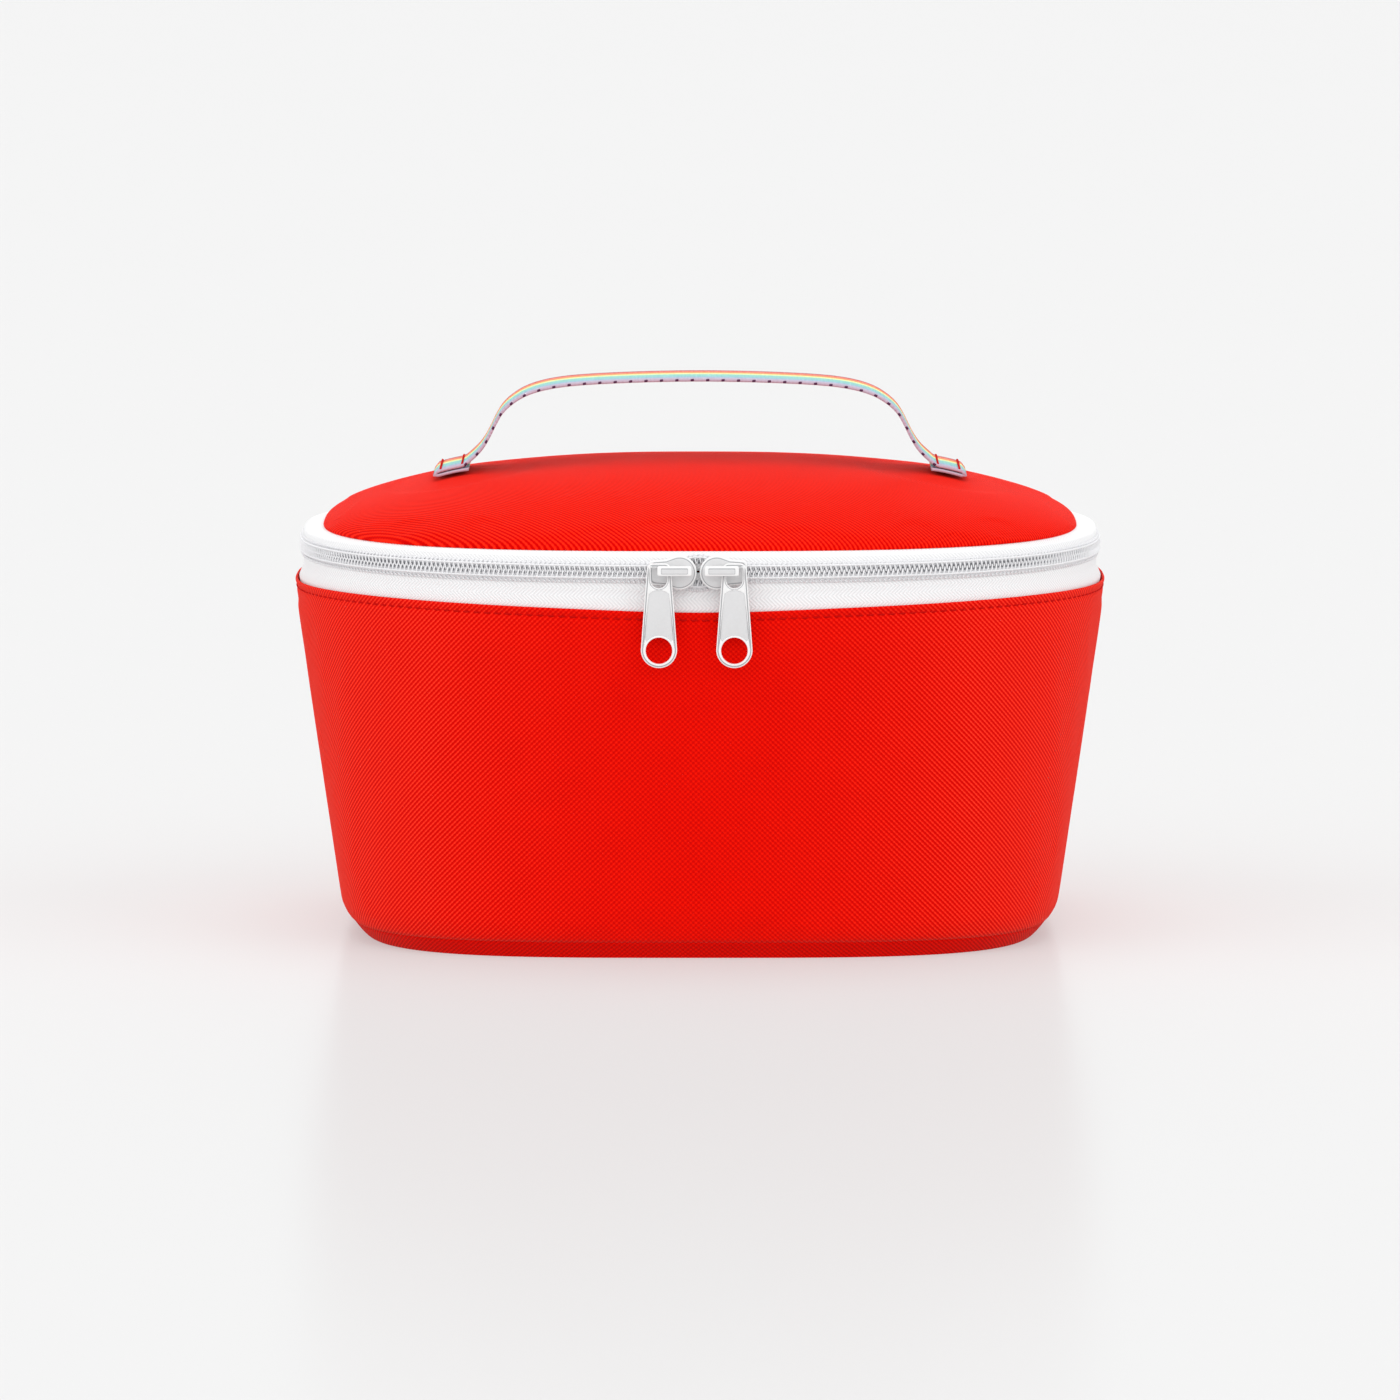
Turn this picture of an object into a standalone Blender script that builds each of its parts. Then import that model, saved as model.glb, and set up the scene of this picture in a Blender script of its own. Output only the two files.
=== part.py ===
"""Oval insulated lunch bag: padded pouch, zip-round lid, two sliders and a webbing carry strap.

X runs to the right, Y to the back and Z up. The origin is the centre of the base, on the floor.
"""
import math

import bmesh
import bpy
from mathutils import Matrix, Vector

# Driving dimensions, in metres.
RIM_HALF_WIDTH = 0.1128
RIM_HALF_DEPTH = 0.0925
RIM_HEIGHT = 0.0973
RIM_EXPONENT = 2.45
BASE_HALF_WIDTH = 0.0995
BASE_HALF_DEPTH = 0.0835
BASE_EXPONENT = 3.6
TAPER_START = 0.010
SEAM_HEIGHT = 0.0043
FLOOR_HALF_WIDTH = 0.0925
FLOOR_HALF_DEPTH = 0.0805
SEAM_TUCK_X = 0.0018
SEAM_TUCK_Y = 0.0009

LID_SEAM_HEIGHT = 0.1125
LID_HALF_WIDTH = 0.1047
LID_HALF_DEPTH = 0.0860
LID_EXPONENT = 2.8
DOME_RISE = 0.0177
DOME_SHARE_POWER = 2.2
DOME_POWER = 0.665

CANVAS = 0.0008
FOAM = 0.0040
LINING = 0.0005
TAPE = 0.0006
BINDING = 0.0006
GAP = 0.00035
WALL_LEVELS = (0.0100, 0.0220, 0.0400, 0.0600, 0.0780)

ZIP_HEIGHT = 0.1068
ZIP_INSET = 0.0025
ZIP_EXPONENT = 2.5
COIL_HALF_HEIGHT = 0.0029
COIL_SLOT = 0.0006
COIL_PROUD = 0.0009
SIDES = 60
HINGE_SIDES = 12

STRAP_WIDTH = 0.028
STRAP_THICKNESS = 0.0009
FOOT_INNER = 0.0640
FOOT_OUTER = 0.0740

SLIDER_SHIFT = -0.0005
SLIDER_NOSE = 0.0004
SLIDER_TAIL = 0.0132
SLIDER_RADIUS = 0.0046
SLIDER_TAIL_HALF_HEIGHT = 0.0033
PLATE = 0.0011
SLIDER_CLEARANCE = 0.0009
SLIDER_PATH_RADIUS = 0.2200

PULL_X = 0.0102
PULL_TOP_WIDTH = 0.0066
PULL_BOTTOM_WIDTH = 0.0098
PULL_LENGTH = 0.0284
PULL_THICKNESS = 0.0014
PULL_HOLE_RADIUS = 0.00345
PULL_HOLE_RISE = 0.0047
PULL_STANDOFF = 0.0010
EYE_HALF_WIDTH = 0.0022
EYE_DROP = 0.0045
EYE_RISE = 0.0010
PULL_TOP_RISE = 0.0022
PIVOT_HEIGHT = 0.1073
PEG_RADIUS = 0.0006
BRIDGE_HEIGHT = 0.0026
BRIDGE_DEPTH = 0.0012
BRIDGE_START = 0.0018
BRIDGE_END = 0.0110
SIDE_GAP = 0.0004

COLOURS = {
    "canvas": (0.78, 0.013, 0.004),
    "base": (0.55, 0.006, 0.002),
    "foam": (0.86, 0.86, 0.84),
    "lining": (0.80, 0.81, 0.83),
    "tape": (0.90, 0.89, 0.90),
    "coil": (0.90, 0.90, 0.91),
    "binding": (0.62, 0.010, 0.004),
    "plastic": (0.78, 0.77, 0.77),
    "webbing": (0.75, 0.45, 0.60),
}


def clear_scene():
    for item in list(bpy.data.objects):
        bpy.data.objects.remove(item, do_unlink=True)


def make_material(name):
    material = bpy.data.materials.new(name)
    material.use_nodes = True
    shader = material.node_tree.nodes["Principled BSDF"]
    shader.inputs["Base Color"].default_value = (*COLOURS[name], 1.0)
    shader.inputs["Metallic"].default_value = 0.6 if name == "lining" else 0.0
    shader.inputs["Roughness"].default_value = 0.35 if name in ("lining", "plastic", "coil") else 0.85
    material.diffuse_color = (*COLOURS[name], 1.0)
    return material


def add_object(name, data, material, collection):
    item = bpy.data.objects.new(name, data)
    collection.objects.link(item)
    data.materials.append(material)
    return item


# Outlines. A section is (half width, half depth, exponent, height).

def section_point(section, angle):
    """Point of a superellipse section in the direction given by an angle in degrees."""
    half_width, half_depth, exponent, height = section
    cosine = math.cos(math.radians(angle))
    sine = math.sin(math.radians(angle))
    reach = (abs(cosine / half_width) ** exponent + abs(sine / half_depth) ** exponent) ** (-1 / exponent)
    return Vector((reach * cosine, reach * sine, height))


def outline_angles(first_step, last_step):
    return [360 * step / SIDES for step in range(first_step, last_step + 1)]


def wall_section(height, inset=0.0):
    """Section of the tapered wall at a height, moved inward by an inset."""
    share = (height - TAPER_START) / (RIM_HEIGHT - TAPER_START)
    half_width = BASE_HALF_WIDTH + (RIM_HALF_WIDTH - BASE_HALF_WIDTH) * share
    half_depth = BASE_HALF_DEPTH + (RIM_HALF_DEPTH - BASE_HALF_DEPTH) * share
    exponent = BASE_EXPONENT + (RIM_EXPONENT - BASE_EXPONENT) * max(0.0, share)
    if height < TAPER_START:
        drop = (TAPER_START - height) / (TAPER_START - SEAM_HEIGHT)
        half_width -= SEAM_TUCK_X * drop ** 2
        half_depth -= SEAM_TUCK_Y * drop ** 2
    return half_width - inset, half_depth - inset, exponent, height


def zip_section(height, inset=0.0):
    """Section of the upright zip band, moved inward by an inset."""
    offset = ZIP_INSET + inset
    return RIM_HALF_WIDTH - offset, RIM_HALF_DEPTH - offset, ZIP_EXPONENT, height


def dome_rise(share):
    """Height of the dome over the lid's seam at a share of its outline's reach."""
    return DOME_RISE * max(0.0, 1 - share ** DOME_SHARE_POWER) ** DOME_POWER


def dome_sections(shares):
    """Sections of the lid's dome from its edge to near its top."""
    sections = []
    for share in shares:
        height = LID_SEAM_HEIGHT + dome_rise(share)
        sections.append((LID_HALF_WIDTH * share, LID_HALF_DEPTH * share, LID_EXPONENT, height))
    return sections


# Sewn skins and foam.

def loft(sections, angles, closed, cap_first=False, cap_last=False):
    """Open surface through sections, one ring of points each, as a bmesh facing outward."""
    mesh = bmesh.new()
    rings = []
    for section in sections:
        rings.append([mesh.verts.new(section_point(section, angle)) for angle in angles])
    count = len(angles)
    for lower, upper in zip(rings, rings[1:]):
        for index in range(count if closed else count - 1):
            after = (index + 1) % count
            mesh.faces.new((lower[index], lower[after], upper[after], upper[index]))
    if cap_first:
        mesh.faces.new(list(reversed(rings[0])))
    if cap_last:
        mesh.faces.new(rings[-1])
    mesh.normal_update()
    return mesh


def push_in(mesh, distance):
    """Move a surface inward by a distance measured square to it."""
    moves = []
    for vertex in mesh.verts:
        moves.append((vertex, vertex.normal * (-distance * vertex.calc_shell_factor())))
    for vertex, move in moves:
        vertex.co += move


def add_skin(name, mesh, thickness, material, collection, depth=0.0):
    """A sheet of one thickness whose outer face lies a depth below the given surface."""
    if depth:
        push_in(mesh, depth)
    data = bpy.data.meshes.new(name)
    mesh.to_mesh(data)
    mesh.free()
    item = add_object(name, data, material, collection)
    shell = item.modifiers.new("thickness", 'SOLIDIFY')
    shell.thickness = thickness
    shell.offset = -1.0
    shell.use_even_offset = True
    return item


def full_turn():
    return outline_angles(0, SIDES - 1)


def zip_run():
    """Angles that the zip covers: all the way round except the fabric hinge at the back."""
    half = HINGE_SIDES // 2
    back = SIDES // 4
    return outline_angles(back + half, back + SIDES - half)


def hinge_run():
    half = HINGE_SIDES // 2
    back = SIDES // 4
    return outline_angles(back - half, back + half)


def build_wall(materials, collection):
    heights = (SEAM_HEIGHT + GAP, *WALL_LEVELS, 0.0892, RIM_HEIGHT)
    mesh = loft([wall_section(height) for height in heights], full_turn(), True)
    add_skin("wall_panel", mesh, CANVAS, materials["canvas"], collection)

    foam_depth = CANVAS + GAP + 0.0002
    tape_depth = CANVAS + TAPE + 2 * GAP + 0.0002
    sections = [wall_section(height, foam_depth) for height in (0.0060, *WALL_LEVELS, 0.0878)]
    sections.append(wall_section(0.0892, tape_depth))
    sections.append(wall_section(0.0945, tape_depth))
    mesh = loft(sections, full_turn(), True)
    add_skin("wall_foam", mesh, FOAM - 0.0006, materials["foam"], collection)

    lining_depth = tape_depth + FOAM - 0.0006 + GAP
    heights = (0.0062, *WALL_LEVELS, 0.0945)
    mesh = loft([wall_section(height, lining_depth) for height in heights], full_turn(), True)
    add_skin("wall_lining", mesh, LINING, materials["lining"], collection)

    binding_depth = lining_depth + LINING + GAP
    sections = [wall_section(0.0865, binding_depth), wall_section(0.0959, binding_depth)]
    sections.append(wall_section(0.0964, tape_depth + 0.0004))
    angles = full_turn()
    mesh = loft(sections, angles, True)
    bmesh.ops.reverse_faces(mesh, faces=mesh.faces)
    mesh.normal_update()
    add_skin("body_rim_binding", mesh, BINDING, materials["binding"], collection, depth=-BINDING)


def build_base(materials, collection):
    edge = wall_section(SEAM_HEIGHT)
    floor = (FLOOR_HALF_WIDTH, FLOOR_HALF_DEPTH, BASE_EXPONENT, 0.0)
    sections = [floor]
    for degrees in (30, 60, 90):
        turn = math.radians(degrees)
        share = math.sin(turn)
        rise = 1 - math.cos(turn)
        sections.append((
            floor[0] + (edge[0] - floor[0]) * share,
            floor[1] + (edge[1] - floor[1]) * share,
            BASE_EXPONENT,
            SEAM_HEIGHT * rise,
        ))
    mesh = loft(sections, full_turn(), True, cap_first=True)
    add_skin("base_panel", mesh, CANVAS, materials["base"], collection)
    foam_low = CANVAS + GAP
    add_slab("base_foam", (0.0890, 0.0735), foam_low, FOAM, materials["foam"], collection)
    lining_low = foam_low + FOAM + GAP
    add_slab("base_lining", (0.0880, 0.0715), lining_low, LINING, materials["lining"], collection)


def add_slab(name, half_sizes, low, thickness, material, collection):
    """Flat sheet with the base's rounded outline."""
    data = bpy.data.curves.new(name, 'CURVE')
    data.dimensions = '2D'
    data.fill_mode = 'BOTH'
    data.extrude = thickness / 2
    points = [section_point((*half_sizes, BASE_EXPONENT, 0.0), angle) for angle in full_turn()]
    spline = data.splines.new('POLY')
    spline.points.add(len(points) - 1)
    for point, place in zip(spline.points, points):
        point.co = (*place, 1.0)
    spline.use_cyclic_u = True
    item = add_object(name, data, material, collection)
    item.location.z = low + thickness / 2


def build_zip_band(materials, collection):
    angles = zip_run()
    coil_low = ZIP_HEIGHT - COIL_HALF_HEIGHT
    coil_high = ZIP_HEIGHT + COIL_HALF_HEIGHT

    depth = CANVAS + GAP
    sections = [wall_section(0.0900, depth), wall_section(RIM_HEIGHT, depth)]
    sections.append(zip_section(RIM_HEIGHT + 0.003))
    sections.append(zip_section(coil_low - GAP))
    add_skin("zip_tape_lower", loft(sections, angles, False), TAPE, materials["tape"], collection)

    sections = [zip_section(height, -COIL_PROUD) for height in (coil_low, ZIP_HEIGHT - COIL_SLOT)]
    add_skin("zip_coil_lower", loft(sections, angles, False), 0.0016, materials["coil"], collection)
    sections = [zip_section(height, -COIL_PROUD) for height in (ZIP_HEIGHT + COIL_SLOT, coil_high)]
    add_skin("zip_coil_upper", loft(sections, angles, False), 0.0016, materials["coil"], collection)

    sections = [zip_section(coil_high + GAP), zip_section(coil_high + 0.0010)]
    sections.append((LID_HALF_WIDTH + 0.0006, LID_HALF_DEPTH + 0.0006, LID_EXPONENT, LID_SEAM_HEIGHT - 0.0007))
    add_skin("zip_tape_upper", loft(sections, angles, False), TAPE, materials["tape"], collection)


def build_hinge(materials, collection):
    """Fabric hinge at the back: an outer canvas layer and an inner layer between the zip's two ends."""
    angles = hinge_run()
    angles[0] += 0.4
    angles[-1] -= 0.4
    depth = CANVAS + GAP
    sections = [wall_section(0.0900, depth), wall_section(RIM_HEIGHT, depth)]
    sections.append(zip_section(RIM_HEIGHT + 0.003))
    sections.append(zip_section(ZIP_HEIGHT + COIL_HALF_HEIGHT))
    sections.append((LID_HALF_WIDTH + 0.0006, LID_HALF_DEPTH + 0.0006, LID_EXPONENT, LID_SEAM_HEIGHT - 0.0007))
    add_skin("hinge_panel", loft(sections, angles, False), TAPE, materials["canvas"], collection)

    inner = TAPE + GAP
    bend = ZIP_HEIGHT + COIL_HALF_HEIGHT - 0.0006
    sections = [zip_section(RIM_HEIGHT + 0.0030, inner), zip_section(bend, inner)]
    sections.append((LID_HALF_WIDTH, LID_HALF_DEPTH, LID_EXPONENT, LID_SEAM_HEIGHT - 0.0021))
    add_skin("hinge_lining", loft(sections, angles, False), LINING, materials["lining"], collection)


def build_lid(materials, collection):
    shares = (1.0, 0.988, 0.94, 0.83, 0.64, 0.41, 0.18)
    mesh = loft(dome_sections(shares), full_turn(), True, cap_last=True)
    add_skin("lid_panel", mesh, CANVAS, materials["canvas"], collection)
    mesh = loft(dome_sections(shares[1:]), full_turn(), True, cap_last=True)
    add_skin("lid_foam", mesh, FOAM, materials["foam"], collection, depth=CANVAS + GAP)
    mesh = loft(dome_sections(shares[2:]), full_turn(), True, cap_last=True)
    add_skin("lid_lining", mesh, LINING, materials["lining"], collection, depth=CANVAS + FOAM + 2 * GAP)


# Carry strap.

def arch_points():
    """Centre line of the strap from one foot over to the other, seen from the front."""
    half = [
        (0.0650, 0.1289),
        (0.0612, 0.1322),
        (0.0589, 0.1357),
        (0.0566, 0.1406),
        (0.0548, 0.1436),
        (0.0519, 0.1462),
        (0.0480, 0.1485),
        (0.0422, 0.1502),
        (0.0339, 0.1513),
        (0.0170, 0.1521),
    ]
    return half + [(0.0, 0.1524)] + [(-x, z) for x, z in reversed(half)]


def add_ribbon(name, line, width, thickness, material, collection):
    """Flat webbing that follows a line in the XZ plane, its width along Y."""
    mesh = bmesh.new()
    rows = []
    for x, z in line:
        rows.append([mesh.verts.new((x, side * width / 2, z)) for side in (-1, 1)])
    for row, following in zip(rows, rows[1:]):
        mesh.faces.new((row[0], row[1], following[1], following[0]))
    mesh.normal_update()
    sheet = bpy.data.meshes.new(name)
    mesh.to_mesh(sheet)
    mesh.free()
    item = add_object(name, sheet, material, collection)
    shell = item.modifiers.new("thickness", 'SOLIDIFY')
    shell.thickness = thickness
    shell.offset = 0.0
    shell.use_even_offset = True
    return item


def dome_height(x, y):
    """Height of the lid's outer surface over a point."""
    reach = (abs(x / LID_HALF_WIDTH) ** LID_EXPONENT + abs(y / LID_HALF_DEPTH) ** LID_EXPONENT) ** (1 / LID_EXPONENT)
    return LID_SEAM_HEIGHT + dome_rise(reach)


def build_strap(materials, collection):
    line = arch_points()
    split = 4
    last = len(line) - split
    add_ribbon("handle_strap", line[split:last], STRAP_WIDTH, STRAP_THICKNESS, materials["webbing"], collection)
    share = 0.12
    for side, name in ((1, "strap_leg_right"), (-1, "strap_leg_left")):
        low = line[:split + 1]
        end = low[-1]
        near = low[-2]
        low[-1] = (end[0] + (near[0] - end[0]) * share, end[1] + (near[1] - end[1]) * share)
        leg = [(side * x, z) for x, z in low]
        add_ribbon(name, leg, STRAP_WIDTH, STRAP_THICKNESS, materials["webbing"], collection)
    for side, name in ((1, "strap_foot_right"), (-1, "strap_foot_left")):
        foot = []
        for x in (FOOT_INNER, (FOOT_INNER + FOOT_OUTER) / 2, FOOT_OUTER):
            foot.append((side * x, dome_height(x, 0) + 0.0003 + STRAP_THICKNESS))
        add_ribbon(name, foot, STRAP_WIDTH, 2 * STRAP_THICKNESS - 0.0002, materials["webbing"], collection)


# Sliders and pulls.

def add_outline(name, points, thickness, material, collection, holes=()):
    """Flat plate in the XZ plane from closed outlines, centred on y = 0."""
    data = bpy.data.curves.new(name, 'CURVE')
    data.dimensions = '2D'
    data.fill_mode = 'BOTH'
    data.extrude = thickness / 2
    for outline in (points, *holes):
        spline = data.splines.new('POLY')
        spline.points.add(len(outline) - 1)
        for point, (x, z) in zip(spline.points, outline):
            point.co = (x, z, 0.0, 1.0)
        spline.use_cyclic_u = True
    item = add_object(name, data, material, collection)
    item.rotation_euler.x = math.radians(90)
    return item


def arc(centre, radius, first, last, steps):
    turns = [math.radians(first + (last - first) * step / steps) for step in range(steps + 1)]
    return [(centre[0] + radius * math.cos(turn), centre[1] + radius * math.sin(turn)) for turn in turns]


def as_mesh(item, collection):
    """The evaluated object as a plain welded mesh object in its place."""
    bpy.context.view_layer.update()
    evaluated = item.evaluated_get(bpy.context.evaluated_depsgraph_get())
    data = bpy.data.meshes.new_from_object(evaluated)
    matrix = item.matrix_world.copy()
    name = item.name
    bpy.data.objects.remove(item, do_unlink=True)
    mesh = bmesh.new()
    mesh.from_mesh(data)
    bmesh.ops.remove_doubles(mesh, verts=mesh.verts, dist=0.000001)
    mesh.to_mesh(data)
    mesh.free()
    data.name = name
    solid = bpy.data.objects.new(name, data)
    solid.matrix_world = matrix
    collection.objects.link(solid)
    return solid


def add_block(name, low, high, collection):
    mesh = bmesh.new()
    centre = (Vector(low) + Vector(high)) / 2
    size = Vector(high) - Vector(low)
    bmesh.ops.create_cube(mesh, size=1.0, matrix=Matrix.Translation(centre) @ Matrix.Diagonal((*size, 1.0)))
    data = bpy.data.meshes.new(name)
    mesh.to_mesh(data)
    mesh.free()
    item = bpy.data.objects.new(name, data)
    collection.objects.link(item)
    return item


def unite(item, tools):
    for tool in tools:
        tool.hide_render = True
        tool.display_type = 'WIRE'
        join = item.modifiers.new("join", 'BOOLEAN')
        join.operation = 'UNION'
        join.solver = 'EXACT'
        join.object = tool


def slider_levels():
    """Places along Y of the slider's parts, from the coil's face outward."""
    face = -(RIM_HALF_DEPTH - ZIP_INSET + COIL_PROUD)
    plate_back = face - SLIDER_CLEARANCE
    plate_front = plate_back - PLATE
    pull_back = plate_front - PULL_STANDOFF
    bridge_back = pull_back - PULL_THICKNESS - SIDE_GAP
    return face, plate_back, plate_front, pull_back, bridge_back


def slider_outline(side):
    """Round nose towards the middle of the zip, narrowing to the tail."""
    centre = (SLIDER_NOSE + SLIDER_RADIUS, ZIP_HEIGHT)
    outline = arc(centre, SLIDER_RADIUS, 75, 285, 16)
    outline.append((SLIDER_TAIL, ZIP_HEIGHT - SLIDER_TAIL_HALF_HEIGHT))
    outline.append((SLIDER_TAIL, ZIP_HEIGHT + SLIDER_TAIL_HALF_HEIGHT))
    return [(SLIDER_SHIFT + side * x, z) for x, z in outline]


def build_slider(side, name, materials, collection, tools):
    """Outer plate, a wedge through the slot between the coils, an inner plate and a bridge."""
    face, plate_back, plate_front, pull_back, bridge_back = slider_levels()
    plate = add_outline(name, slider_outline(side), PLATE, materials["plastic"], collection)
    plate.location.y = (plate_back + plate_front) / 2
    plate = as_mesh(plate, collection)

    inner_face = face + 0.0016 + SLIDER_CLEARANCE
    bridge_front = bridge_back - BRIDGE_DEPTH
    bridge_low = PIVOT_HEIGHT + 0.0003 - BRIDGE_HEIGHT / 2
    bite = 0.0003
    wedge = ((0.0050, plate_back - bite, ZIP_HEIGHT - 0.0003), (0.0085, inner_face + bite, ZIP_HEIGHT + 0.0003))
    inner = ((0.0030, inner_face, ZIP_HEIGHT - 0.0034), (0.0126, inner_face + 0.0009, ZIP_HEIGHT + 0.0026))
    bar = (
        (BRIDGE_START, bridge_front, bridge_low),
        (BRIDGE_END, bridge_back, bridge_low + BRIDGE_HEIGHT),
    )
    leg = (
        (BRIDGE_START + 0.0002, bridge_back - bite, bridge_low + bite),
        (BRIDGE_START + 0.0016, plate_front + bite, bridge_low + BRIDGE_HEIGHT - bite),
    )
    blocks = []
    for index, (low, high) in enumerate((wedge, inner, bar, leg)):
        ends = sorted((SLIDER_SHIFT + side * low[0], SLIDER_SHIFT + side * high[0]))
        low = (ends[0], *low[1:])
        high = (ends[1], *high[1:])
        blocks.append(add_block(f"{name}_tool_{index}", low, high, tools))
    blocks.append(add_peg(f"{name}_tool_peg", side, bridge_back - bite, plate_front + bite, tools))
    unite(plate, blocks)
    place_origin(plate, Vector((0.0, plate_front + SLIDER_PATH_RADIUS, ZIP_HEIGHT)))


def add_peg(name, side, front, back, collection):
    """Round outer leg of the bridge, on which the pull hangs."""
    mesh = bmesh.new()
    centre = (SLIDER_SHIFT + side * PULL_X, (front + back) / 2, PIVOT_HEIGHT)
    turn = Matrix.Translation(centre) @ Matrix.Rotation(math.pi / 2, 4, 'X')
    bmesh.ops.create_cone(
        mesh, cap_ends=True, segments=12, radius1=PEG_RADIUS, radius2=PEG_RADIUS, depth=back - front, matrix=turn
    )
    data = bpy.data.meshes.new(name)
    mesh.to_mesh(data)
    mesh.free()
    item = bpy.data.objects.new(name, data)
    collection.objects.link(item)
    return item


def place_origin(item, point):
    """Move an object's origin to a world point without moving its shape."""
    local = item.matrix_world.inverted() @ point
    item.data.transform(Matrix.Translation(-local))
    item.matrix_world = Matrix.Translation(point) @ item.matrix_world.to_3x3().to_4x4()


def build_pull(side, name, materials, collection):
    """Hanging pull: it widens to a round end with a hole, and has an eye round the bridge's peg."""
    top = PIVOT_HEIGHT + PULL_TOP_RISE
    end = PULL_BOTTOM_WIDTH / 2
    half_top = PULL_TOP_WIDTH / 2
    corner = 0.0018
    centre = (0.0, top - PULL_LENGTH + end)
    outline = arc(centre, end, 180, 360, 16)
    outline += arc((half_top - corner, top - corner), corner, 0, 90, 4)
    outline += arc((corner - half_top, top - corner), corner, 90, 180, 4)
    hole = arc((0.0, top - PULL_LENGTH + PULL_HOLE_RISE), PULL_HOLE_RADIUS, 0, 337.5, 15)
    eye = arc((0.0, PIVOT_HEIGHT - EYE_DROP + EYE_HALF_WIDTH), EYE_HALF_WIDTH, 180, 360, 6)
    eye += [(EYE_HALF_WIDTH, PIVOT_HEIGHT + EYE_RISE), (-EYE_HALF_WIDTH, PIVOT_HEIGHT + EYE_RISE)]
    pull = add_outline(name, outline, PULL_THICKNESS, materials["plastic"], collection, (hole, eye))
    pivot = Vector((SLIDER_SHIFT + side * PULL_X, slider_levels()[3] - PULL_THICKNESS / 2, PIVOT_HEIGHT))
    pull.location = (pivot.x, pivot.y, 0.0)
    pull = as_mesh(pull, collection)
    place_origin(pull, pivot)


def build():
    clear_scene()
    collection = bpy.data.collections.new("lunch_bag")
    tools = bpy.data.collections.new("cutters")
    bpy.context.scene.collection.children.link(collection)
    bpy.context.scene.collection.children.link(tools)
    materials = {name: make_material(name) for name in COLOURS}
    build_wall(materials, collection)
    build_base(materials, collection)
    build_zip_band(materials, collection)
    build_hinge(materials, collection)
    build_lid(materials, collection)
    build_strap(materials, collection)
    for side, label in ((-1, "left"), (1, "right")):
        build_slider(side, "slider_" + label, materials, collection, tools)
        build_pull(side, "pull_" + label, materials, collection)


build()
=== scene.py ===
import math

import bmesh
import bpy
import numpy as np
from mathutils import Matrix, Vector, noise


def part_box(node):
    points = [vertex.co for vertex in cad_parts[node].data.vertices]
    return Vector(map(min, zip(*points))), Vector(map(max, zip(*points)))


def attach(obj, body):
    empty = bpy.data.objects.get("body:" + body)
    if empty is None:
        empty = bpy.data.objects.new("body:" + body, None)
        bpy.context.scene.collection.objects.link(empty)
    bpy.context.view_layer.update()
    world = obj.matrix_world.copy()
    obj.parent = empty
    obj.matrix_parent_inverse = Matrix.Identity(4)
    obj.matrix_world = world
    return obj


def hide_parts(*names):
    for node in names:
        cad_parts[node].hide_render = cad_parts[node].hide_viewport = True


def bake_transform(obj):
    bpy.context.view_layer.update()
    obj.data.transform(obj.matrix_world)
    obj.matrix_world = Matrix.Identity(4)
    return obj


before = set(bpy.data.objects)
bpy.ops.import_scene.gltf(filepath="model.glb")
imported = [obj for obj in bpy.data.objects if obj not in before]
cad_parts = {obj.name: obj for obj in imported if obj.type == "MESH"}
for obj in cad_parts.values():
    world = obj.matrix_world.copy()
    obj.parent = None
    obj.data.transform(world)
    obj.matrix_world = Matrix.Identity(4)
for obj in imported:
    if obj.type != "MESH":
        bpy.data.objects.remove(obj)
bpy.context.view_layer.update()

MM = 0.001
BACK, FRONT = 90.0, 270.0        # directions seen from above, in degrees

# Places taken from the frame. Ovals have a half width A along X, a half depth B along Y and a power N.
WALL_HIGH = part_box("wall_panel")[1]
LID_LOW, LID_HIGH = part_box("lid_panel")
COIL_LOW, COIL_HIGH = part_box("zip_coil_lower")
COIL_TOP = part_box("zip_coil_upper")[1].z
STRAP_HALF_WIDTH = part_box("handle_strap")[1].y

RIM_A, RIM_B, RIM_Z = WALL_HIGH.x, WALL_HIGH.y, WALL_HIGH.z
LID_A, LID_B, LID_Z = LID_HIGH.x, LID_HIGH.y, LID_LOW.z
DOME_RISE = LID_HIGH.z - LID_Z - 0.5 * MM
ZIP_Z = (COIL_LOW.z + COIL_TOP) / 2
COIL_PROUD = 0.9 * MM            # how far the coil stands out from the zip's own oval
ZIP_A, ZIP_B = COIL_HIGH.x - COIL_PROUD, -COIL_LOW.y - COIL_PROUD

# Sizes chosen here.
RIM_N, BASE_N, ZIP_N, LID_N = 2.45, 3.6, 2.5, 2.8
TAPER_Z = 10 * MM                # the wall widens evenly from this height to the rim
TAPER_A, TAPER_B = 99.5 * MM, 83.5 * MM
SEAM_Z = 4.3 * MM                # seam of wall and base, drawn in by this much
SEAM_DRAW_A, SEAM_DRAW_B = 1.8 * MM, 0.9 * MM
FLOOR_A, FLOOR_B = 92.5 * MM, 80.5 * MM
CANVAS = 0.8 * MM                # thickness of wall, base and lid cloth
TAPE = 0.6 * MM
TAPE_INSET = 1.25 * MM           # tape and hinge lie this far inside the wall's face
TAPE_TUCK = 6 * MM               # and reach this far below the rim
LID_EDGE_INSET = 0.7 * MM        # their upper edge, sewn inside the lid's edge
LINING_INSET = 6.35 * MM
LINING_FLOOR = 6.4 * MM
TOPSTITCH_DROP = 2.6 * MM
SLIDER_SHIFT = -0.5 * MM         # the sliders meet a little left of the middle
ZIP_PITCH = 1.36 * MM
HINGE_HALF_TURN = 36.0           # half of the oval's turn that the hinge takes
DOME_POWER = 0.62
FOOT_INNER, FOOT_OUTER = 66 * MM, 72 * MM        # the strap's two bar tacks on each foot
PINNED = 0.985                   # share of the lid's reach past which its edge is held
WEAVE_PITCH = 0.72 * MM
LEAN = 0.3                       # how far one set of the weave's ribs can outweigh the other
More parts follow.
